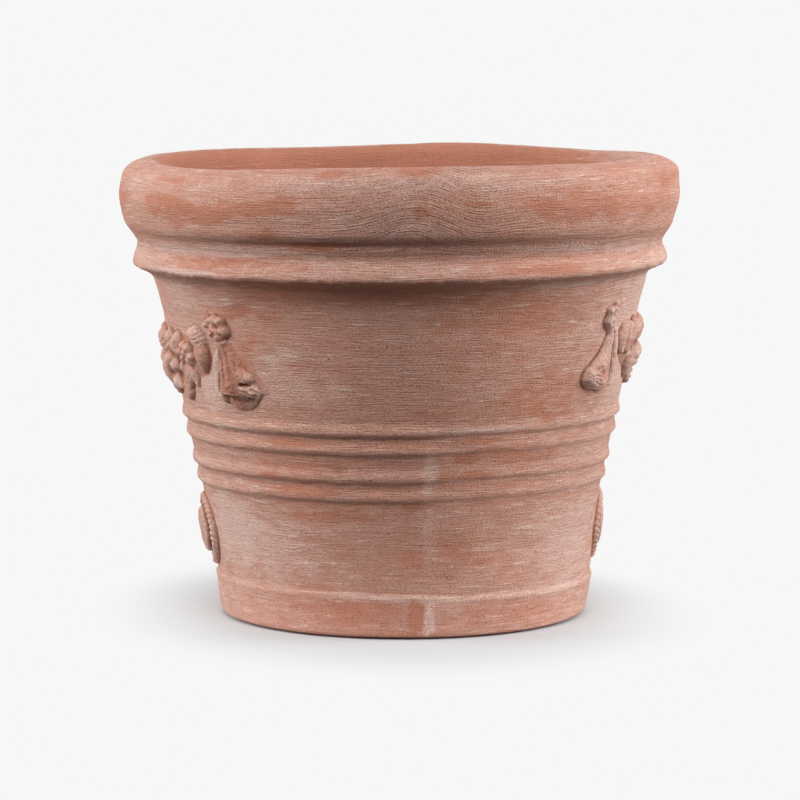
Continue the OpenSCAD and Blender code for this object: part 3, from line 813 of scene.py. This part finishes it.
# The forms of each garland, from its rosette to its middle, in mm: kind, place towards the middle
# and down from the rosette, half-sizes, height, turn in degrees, and how pale it is
GARLAND_LEFT = [
    ("shell", 27, 7, 11.5, 8.6, 6.4, -6, 0.15), ("mound", 24, 20.6, 8.6, 11.6, 6.4, -8, -0.25),
    ("berries", 44, 20, 12.5, 7.5, 7, -8, -0.05), ("mound", 60, 15, 9.5, 9, 7, 12, 0.05),
    ("leaf", 50, 37, 6.5, 10, 4.2, -24, 0), ("leaf", 42, 36.5, 5.5, 8.5, 3, 18, 0.15),
    ("mound", 66, 30.5, 6.5, 6.6, 9, 12, 0.5), ("mound", 72, 43, 8.5, 5.6, 8, -22, 0.5),
    ("leaf", 58, 47.5, 7.5, 7.5, 4.2, 8, -0.25), ("mound", 55, 30, 5.5, 5.5, 6, 0, -0.1),
    ("gourd", 76, 13, 10.5, 9, 6.4, 24, 0), ("mound", 84, 29, 9.5, 8.5, 9.2, -12, 0.05),
    ("leaf", 88, 45, 7, 8.5, 5.4, 20, 0), ("shell", 97, 16, 9, 9.5, 7.4, 10, 0.1),
    ("gourd", 104, 36, 11.5, 9.5, 9.2, 80, 0)]
GARLAND_RIGHT = [
    ("leaf", 27, 15.5, 8, 12.5, 5.4, 10, 0.05), ("leaf", 36, 17, 8, 11.5, 6.4, -6, 0.05),
    ("gourd", 48, 13, 12.5, 9, 8.4, -18, 0.1), ("mound", 62, 14, 8, 8, 6.6, 20, 0),
    ("leaf", 52, 35, 8, 13, 6, -22, 0), ("gourd", 65, 33, 11.5, 9.5, 9, 14, 0.1),
    ("mound", 45, 29, 4, 3.4, 3.2, 0, 0.6), ("leaf", 74, 46, 8, 8.5, 5.2, 14, 0),
    ("gourd", 79, 14, 10, 9.5, 7, 60, 0), ("mound", 86, 31, 9.5, 9, 9.2, -12, 0.1),
    ("berries", 95, 46, 10, 6.5, 6.4, 8, 0), ("shell", 100, 14, 10.5, 9.5, 7.4, 10, 0.1),
    ("leaf", 103, 30, 8, 10, 7.5, 30, 0), ("gourd", 118, 34, 11.5, 10.5, 9.4, 80, 0),
    ("mound", 117, 14, 8.5, 8.5, 7.4, 0, 0.05)]


def festoon(name, place, garland, seed):
    """A thick swag of fruit and leaves, hung between its rosettes."""
    z = place["rosette_z"]
    end = math.radians(place["reach"]) * float(wall_radius(z - 30))

    def form(u, v):
        d = z - v
        share = 1 - np.abs(u) / end
        bow = 1 - (1 - share) ** 2
        spine = 12 + 19 * bow
        bed = 3 * (1 - ((d - spine) / (9 + 10 * bow)) ** 4) - 16 * np.maximum(0.4 - share, 0)
        layers, values = [np.maximum(np.minimum(bed, 2.2), DEEP)], [-0.15]
        for side in (-1, 1):
            more, pale = laid(garland, end - side * u, v - z)
            layers, values = layers + more, values + pale
        return together(layers, 1.25), paleness(layers, values), np.zeros(u.shape)

    return relief(name, place["middle"], (-end - 4, end + 4), (z - 60, z + 10), form, 0.55, 4, seed)


# The knobs of each rosette and the ends of its ribbon: place towards the swag's middle and down from
# the rosette's centre, half-sizes, height, turn in degrees, and how pale it is
ROSETTE_LEFT = [
    (1, 0.5, 9.8, 9.8, 5.3, 0, -0.2), (7, -4.5, 4, 3.6, 5.3, 20, -0.15), (1.6, -7, 3.8, 3.2, 5.3, 0, -0.1),
    (-4, -5.4, 3.8, 3.4, 5.4, -20, -0.05), (-6.4, 0.4, 3.4, 4.6, 5.4, 0, -0.15),
    (1.4, 5.4, 7, 4.2, 5.7, 4, -0.15), (7.4, 2.4, 3.4, 3.6, 5.2, 0, -0.1), (0.8, -1, 4.2, 3.8, 5.8, 0, -0.1),
    (-4.4, 9.4, 2.6, 2.2, 3.8, 0, 0), (13.5, -2, 3.2, 2.4, 3, 0, 0.1), (12, -9, 4, 6, 1.3, 24, -0.3)]
ROSETTE_RIGHT = [
    (0.6, 1, 7, 9, 4.3, 0, 0.35), (-2.6, -4, 3.2, 3.2, 4.5, 0, 0.35),
    (2.8, -4.4, 3.4, 3.2, 4.5, 0, 0.35), (-3.4, 1.8, 2.8, 3.8, 4.4, 0, 0.3),
    (4.4, 0.6, 3, 3.8, 4.5, 0, 0.3), (0.4, 5.8, 4.4, 3.6, 4.6, 0, 0.3),
    (0.6, 0.4, 3.2, 3.2, 4.8, 0, 0.35), (6.5, -9.4, 3.8, 2.8, 2.2, 0, 0.1), (16, -9.8, 5, 2.6, 1.8, 0, 0.1),
    (10, -5, 4.4, 3.8, 1.6, 0, 0.1)]


def rosette(name, place, knobs, side, seed):
    """A flower boss with knobbly petals, and the flattened ribbon over it."""
    z = place["rosette_z"]
    at = side * math.radians(place["reach"]) * float(wall_radius(z))

    def form(u, v):
        x, y = side * (at - u), v - z
        layers, pale = laid([("mound", *knob) for knob in knobs], x, y)
        top = together(layers, 1.4)
        stipple = lattice_noise(x + 60, y + 60, 3.1, 2.7, seed + 20, 2)
        return top + 1.1 * stipple * ramp(top, 1.5, 4), paleness(layers, pale), np.zeros(u.shape)

    return relief(name, place["middle"], (at - 24, at + 24), (z - 14, z + 19), form, 0.45, 7, seed)


def line(d, rows):
    """A place or a size that changes down a drape, through rows of (down, value)."""
    return np.interp(d, *np.array(rows, float).T)


def unsteady(x, d, seed):
    """Wanders the lines of a drape by about a millimetre."""
    x = x + 0.9 * lattice_noise(x + 300, d + 300, 12, 12, seed + 30, 2)
    return x, d + 0.8 * lattice_noise(x + 400, d + 400, 12, 12, seed + 31, 2)


def fold(x, d, centre, half, high, top, bottom):
    """A rounded fold down a line, from its top to its bottom."""
    s = (x - line(d, centre)) / line(d, half)
    body = line(d, high) * np.sqrt(np.maximum(1 - s * s, 0)) - 4 * np.maximum(np.abs(s) - 1, 0)
    return np.maximum(body - 3 * np.maximum(top - d, 0) - 3 * np.maximum(d - bottom, 0), DEEP)


def left_drape(x, d, seed):
    """A smooth fold on the garland's side, a fanned panel that fades into the wall, and a rolled
    hem with a slit over it and a smooth bulb under it."""
    x, d = unsteady(x, d, seed)
    groove = line(d, [(6, 0.6), (16, 1.9), (30, 5.3), (42, 8.4), (52, 9.4)])
    outer = line(d, [(5, -6), (16, -14), (25, -21), (34, -26.5), (44, -28), (52, -24)])
    f = (groove - x) / (groove - outer)
    panel = (2.6 + 0.07 * d) * np.clip(f / 0.1, 0, 1) ** 0.6 * (1 - ramp(f, 0.3, 0.98))
    pleats = np.sin(f * 24 + 0.6 + 0.8 * lattice_noise(x, d, 14, 14, seed + 2, 1)) * ramp(-f, -0.65, -0.2)
    panel = panel + 0.85 * pleats * ramp(d, 9, 16) * ramp(-d, -40, -32)
    panel = panel - 18 * np.maximum(-f, 0) - 2 * np.maximum(f - 1, 0) - 3 * np.maximum(d - 44, 0)
    panel = panel - 3 * np.maximum(8 - d, 0)
    ridge = fold(x, d, [(8, 3), (14, 5.4), (30, 8.8), (45, 12.2)], [(10, 2.6), (25, 4.2), (46, 4.6)],
                 [(8, 1.8), (20, 2.3), (46, 2.5)], 9, 47)
    roll = mound(*turned_by(x + 15, 31 - d, -14), 11.5, 5.4, 3.9)
    hem = mound(*turned_by(x + 14.5, 42.6 - d, -3), 16.5, 7, 4.9)
    crumple = lattice_noise(x + 40, d, 6, 4, seed, 2)
    wrinkle = np.sin((d + 0.36 * x) * 2.5 + 2.4 * crumple) + 0.5 * np.sin((d - 0.2 * x) * 4.1 + 2.6 * crumple)
    rough = 0.4 * wrinkle + 0.5 * lattice_noise(x + 77, d + 77, 3.4, 2.6, seed + 6, 2)
    hem = hem + rough * ramp(hem, 0.5, 3.5)
    bulb = mound(x + 11, 48.6 - d, 14, 7.6, 4.2)
    toe = mound(x - 6.2, 46 - d, 5, 5.4, 4.2)
    knot = mound(x - 1, 9.5 - d, 5.5, 4.6, 4)
    layers = [np.maximum(panel, DEEP), ridge, roll, hem, bulb, toe, knot]
    top = together(layers, 1.4)
    # The slit, the line under the hem and the groove beside the ridge are cut and given painted shade; the
    # wrinkles' troughs and the bulb under the hem get painted shade, the bulb also loses bloom, and the hem
    # and the roll are darkened
    slit = bell(d, 37 - 0.1 * (x + 17), 0.8) * ramp(-np.abs(x + 18), -6, -3.5)
    seam = bell(d, 47.2 - 0.012 * (x + 14) ** 2, 1.5) * ramp(-np.abs(x + 15), -12, -8)
    dark = bell(x, groove, 0.7 + 0.03 * d) * ramp(d, 26, 42) * ramp(-d, -47, -43)
    top = top - 4.2 * slit - 0.5 * seam - 2.2 * dark
    fading = 0.3 * ramp(f, 0.5, 1)
    creases = 0.35 * ramp(wrinkle, -0.2, -1.2) * ramp(hem, 0.5, 3)
    pale = paleness(layers, [-0.35, 0.2, -0.3, -0.25, -0.35, 0.1, -0.1]) + fading
    shade_and_dirt = 0.85 * ramp(hem, 0.5, 3) + 0.45 * ramp(bulb, 0.5, 3) + 0.3 * ramp(roll, 0.5, 3)
    return top, pale, slit + 0.35 * seam + 0.6 * dark + creases + shade_and_dirt


def right_drape(x, d, seed):
    """Two folds with a dark slit between them: the outer one swells to a wrinkled bulb."""
    x, d = unsteady(x, d, seed)
    bulb = fold(x, d, [(8, 3), (12, 4), (19, 3.6), (26, 1), (31, -2), (38, -4.8), (45, -5), (52, -4)],
                [(8, 3), (12, 4.2), (19, 6.6), (26, 9.2), (33, 12.6), (41, 15.4), (47, 13.6), (52, 9)],
                [(8, 3), (20, 4.4), (32, 6.4), (44, 7.6), (51, 5)], 8, 49)
    grey = mound(*turned_by(x + 12.6, 41.5 - d, 14), 8.8, 9.2, 7.4)
    crumple = lattice_noise(x + 40, d, 5, 4, seed, 2)
    wrinkle = 0.4 * np.sin((d - 0.2 * x) * 2.7 + 2.8 * crumple) * ramp(d, 34, 38) * ramp(-x, 3, 8)
    lobe = mound(x + 1.5, 43.8 - d, 7.4, 6.4, 7.6)
    lobe = lobe + 0.5 * lattice_noise(x + 9, d + 9, 2.4, 2.2, seed + 4, 2) * ramp(lobe, 0.5, 3)
    tail = mound(x - 2.5, 50 - d, 6, 3.6, 3)
    inner = fold(x, d, [(8, 9.5), (12, 11.5), (28, 17), (43, 18), (50, 15.5)],
                 [(8, 3.6), (14, 4.6), (28, 5.4), (44, 6.4), (51, 4.6)],
                 [(8, 2.6), (26, 3.4), (44, 4.2)], 8, 49)
    layers = [bulb, grey, lobe, tail, inner]
    top = together(layers, 0.8)
    top = top + wrinkle * ramp(top, 2, 5)
    groove = line(d, [(8, 7.4), (20, 9.8), (32, 10.6), (42, 10.4), (50, 9.6)])
    deep = ramp(d, 30, 38)
    cut = ramp(d, 12, 18) * ramp(-d, -49, -46)
    # The slit between the folds is cut and given painted shade, the wrinkles' troughs get painted shade, and
    # the spot round the grey bulb is darkened
    top = top - (1.2 + 4.6 * deep) * bell(x, groove, 0.7 + 0.035 * d) * cut
    slit = (0.5 + 0.7 * deep) * bell(x, groove + 0.8, 1.8 + 0.9 * deep) * cut
    rough = lattice_noise(x + 70, d + 20, 3, 2.6, seed + 8, 2)
    top = top + 0.55 * rough * ramp(d, 26, 34) * ramp(-x, -8, -4)
    creases = 0.5 * ramp(wrinkle, -0.05, -0.3) * ramp(top, 2, 5)
    pale = paleness(layers, [0.15, 0.2, 0.45, 0.2, 0.4])
    return top, pale, slit + creases + 0.25 * bell(np.hypot((x + 14) / 12, (d - 41) / 10), 0, 0.8)


def drape(name, place, cloth, side, seed):
    """A cloth end that hangs from a rosette."""
    z = place["rosette_z"]
    at = side * math.radians(place["reach"]) * float(wall_radius(z - 30))

    def form(u, v):
        return cloth(side * (at - u), z - v, seed)

    return relief(name, place["middle"], (at - 36, at + 36), (z - 62, z - 2), form, 0.5, 2, seed)


def medallion(name, middle, seed):
    """A round plate with a roped border, a beaded ring inside it and a plain domed field."""
    half_u, half_v = MEDALLION_W / 2, MEDALLION_H / 2

    def form(u, v):
        x, y = u / half_u, (v - MEDALLION_Z) / half_v
        d = np.hypot(x, y)
        around = np.arctan2(y, x)
        plate = 2.8 * (1 - np.clip((d - 0.86) / 0.14, 0, 1) ** 2) - 40 * np.maximum(d - 1, 0)
        rope_d = (d - 0.88) / 0.105
        rope = 5.2 * np.sqrt(np.maximum(1 - rope_d ** 2, 0))
        rope = rope - 1.3 * np.abs(np.sin(around * 18 + rope_d * 1.3)) ** 3 * (rope > 0.1)
        bead_d = (d - 0.69) / 0.06
        bead = 3.9 * np.sqrt(np.maximum(1 - bead_d ** 2, 0)) * (0.55 + 0.45 * np.abs(np.cos(around * 20)))
        field = 7.8 * np.sqrt(np.maximum(1 - (d / 0.98) ** 2, 0)) * (d < 0.6) + 2.5 * (d >= 0.6)
        field = np.where(d < 0.6, np.minimum(field, 7.2), DEEP)
        rings = [np.where(ring > 0, ring, DEEP) for ring in (rope, bead)]
        top = together([np.maximum(plate, DEEP), *rings, field], 0.3)
        return top * (1.08 - 0.5 * y * y), np.full(u.shape, 0.12), np.zeros(u.shape)

    high = (MEDALLION_Z - half_v - 3, MEDALLION_Z + half_v + 3)
    return relief(name, middle, (-half_u - 3, half_u + 3), high, form, 0.45, 2, seed)


SIDES = [("left", LEFT, GARLAND_LEFT, ROSETTE_LEFT, left_drape, 3),
         ("right", RIGHT, GARLAND_RIGHT, ROSETTE_RIGHT, right_drape, 8)]
for word, place, garland, knobs, cloth, seed in SIDES:
    front = 1 if word == "left" else -1
    pieces["festoon_" + word] = festoon("festoon_" + word, place, garland, seed)
    for end, side in (("front", front), ("back", -front)):
        node = f"rosette_{word}_{end}"
        pieces[node] = rosette(node, place, knobs, side, seed + side + 2)
        node = f"drape_{word}_{end}"
        pieces[node] = drape(node, place, cloth, side, seed + side + 5)
    node = "medallion_" + word
    pieces[node] = medallion(node, place["middle"], seed + 11)

for node, piece in pieces.items():
    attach(piece, "root")
    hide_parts(node)


# Floor, light and camera
# The floor's colour as it is seen, and as it throws light near the pot and further off
FLOOR_SEEN = "#cfd2d4"
FLOOR_NEAR = "#f0f0f0"
FLOOR_FAR = "#3a3a3a"
BACKDROP = "#f7f7f7"
# Where the floor starts to fade and where it has faded, in metres from the pot's axis
FADE_FROM = 0.13
FADE_TO = 0.28


def pale_floor():
    """A matt studio floor that takes the pot's shadow and throws light back round it. Further off
    it fades to the plain colour of the backdrop, and throws less light."""
    material = bpy.data.materials.new("pale_floor")
    tree = cleared(material)
    make = partial(made, tree)
    seen = seen_rays(tree)
    place = add(tree, "ShaderNodeTexCoord").outputs["Object"]
    place = make("ShaderNodeVectorMath", {0: place, 1: (1.25, 0.95, 1)}, operation="MULTIPLY")
    away = add(tree, "ShaderNodeVectorMath", {0: place}, operation="LENGTH").outputs["Value"]
    far = make("ShaderNodeMapRange", {"Value": away, "From Min": FADE_FROM, "From Max": FADE_TO},
               interpolation_type="SMOOTHSTEP")
    colour = mixed(tree, far, linear(FLOOR_NEAR), linear(FLOOR_FAR))
    colour = mixed(tree, seen, colour, linear(FLOOR_SEEN))
    matt = make("ShaderNodeBsdfDiffuse", {"Color": colour})
    glow = make("ShaderNodeEmission", {"Color": linear(BACKDROP), "Strength": 1.0})
    far = math_node(tree, "MULTIPLY", far, seen)
    add(tree, "ShaderNodeOutputMaterial", {0: make("ShaderNodeMixShader", {0: far, 1: matt, 2: glow})})
    return material


turn = math.radians(CAMERA_TURN)
right = np.array([math.cos(turn), math.sin(turn), 0])
behind = np.array([-math.sin(turn), math.cos(turn), 0])


def at(across, away, up):
    """A spot in metres: across to the right of the picture, away from the camera, and up."""
    return tuple(across * right + away * behind + up * np.array([0, 0, 1]))


def aimed(thing, where, towards):
    """Puts a lamp or the camera at a spot and turns it towards another."""
    thing.location = where
    thing.rotation_mode = "QUATERNION"
    thing.rotation_quaternion = Vector(np.array(towards) - np.array(where)).to_track_quat("-Z", "Y")


floor_mesh = bpy.data.meshes.new("floor")
floor_mesh.from_pydata([at(-6, -4, 0), at(6, -4, 0), at(6, 6, 0), at(-6, 6, 0)], [], [(0, 1, 2, 3)])
floor_mesh.materials.append(pale_floor())
placed("floor", floor_mesh)

# Place, width and height in metres, and watts
LAMPS = {"left_softbox": ((-1.5, -0.1, 0.5), 0.9, 1.2, 22),
         "right_softbox": ((1.5, -0.1, 0.5), 0.9, 1.2, 24.5),
         "overhead": ((0, -1.2, 1.45), 1.6, 1.0, 21.5), "behind": ((0, 1.7, 1.0), 1.6, 1.0, 13)}
POT_MIDDLE = at(0, 0, 0.17)
for name, (spot, wide, tall, watts) in LAMPS.items():
    light = bpy.data.lights.new(name, "AREA")
    light.shape = "RECTANGLE"
    light.size = wide
    light.size_y = tall
    light.energy = watts
    aimed(placed(name, light), at(*spot), POT_MIDDLE)

# The sky's strength where it lights the pot, and where the camera sees it
SKY_LIGHT = 0.16
SKY_SEEN = 0.93
scene = bpy.context.scene
world = bpy.data.worlds.new("studio")
scene.world = world
sky = cleared(world)
level = made(sky, "ShaderNodeMapRange", {"Value": seen_rays(sky), "From Min": 0, "From Max": 1,
                                         "To Min": SKY_LIGHT, "To Max": SKY_SEEN})
sky_light = made(sky, "ShaderNodeBackground", {"Color": (1, 1, 1, 1), "Strength": level})
add(sky, "ShaderNodeOutputWorld", {0: sky_light})

camera = placed("camera", bpy.data.cameras.new("camera"))
scene.camera = camera
eye = np.array(at(0, -CAMERA_AWAY * MM, CAMERA_HIGH * MM))
aim = np.array([0, 0, AIM_Z * MM])
aimed(camera, eye, aim)
camera.data.sensor_width = SENSOR_W
camera.data.lens = SENSOR_W * np.linalg.norm(aim - eye) / (PICTURE_W * MM)
camera.data.clip_start = 0.1
camera.data.clip_end = 40

scene.view_settings.view_transform = "Standard"
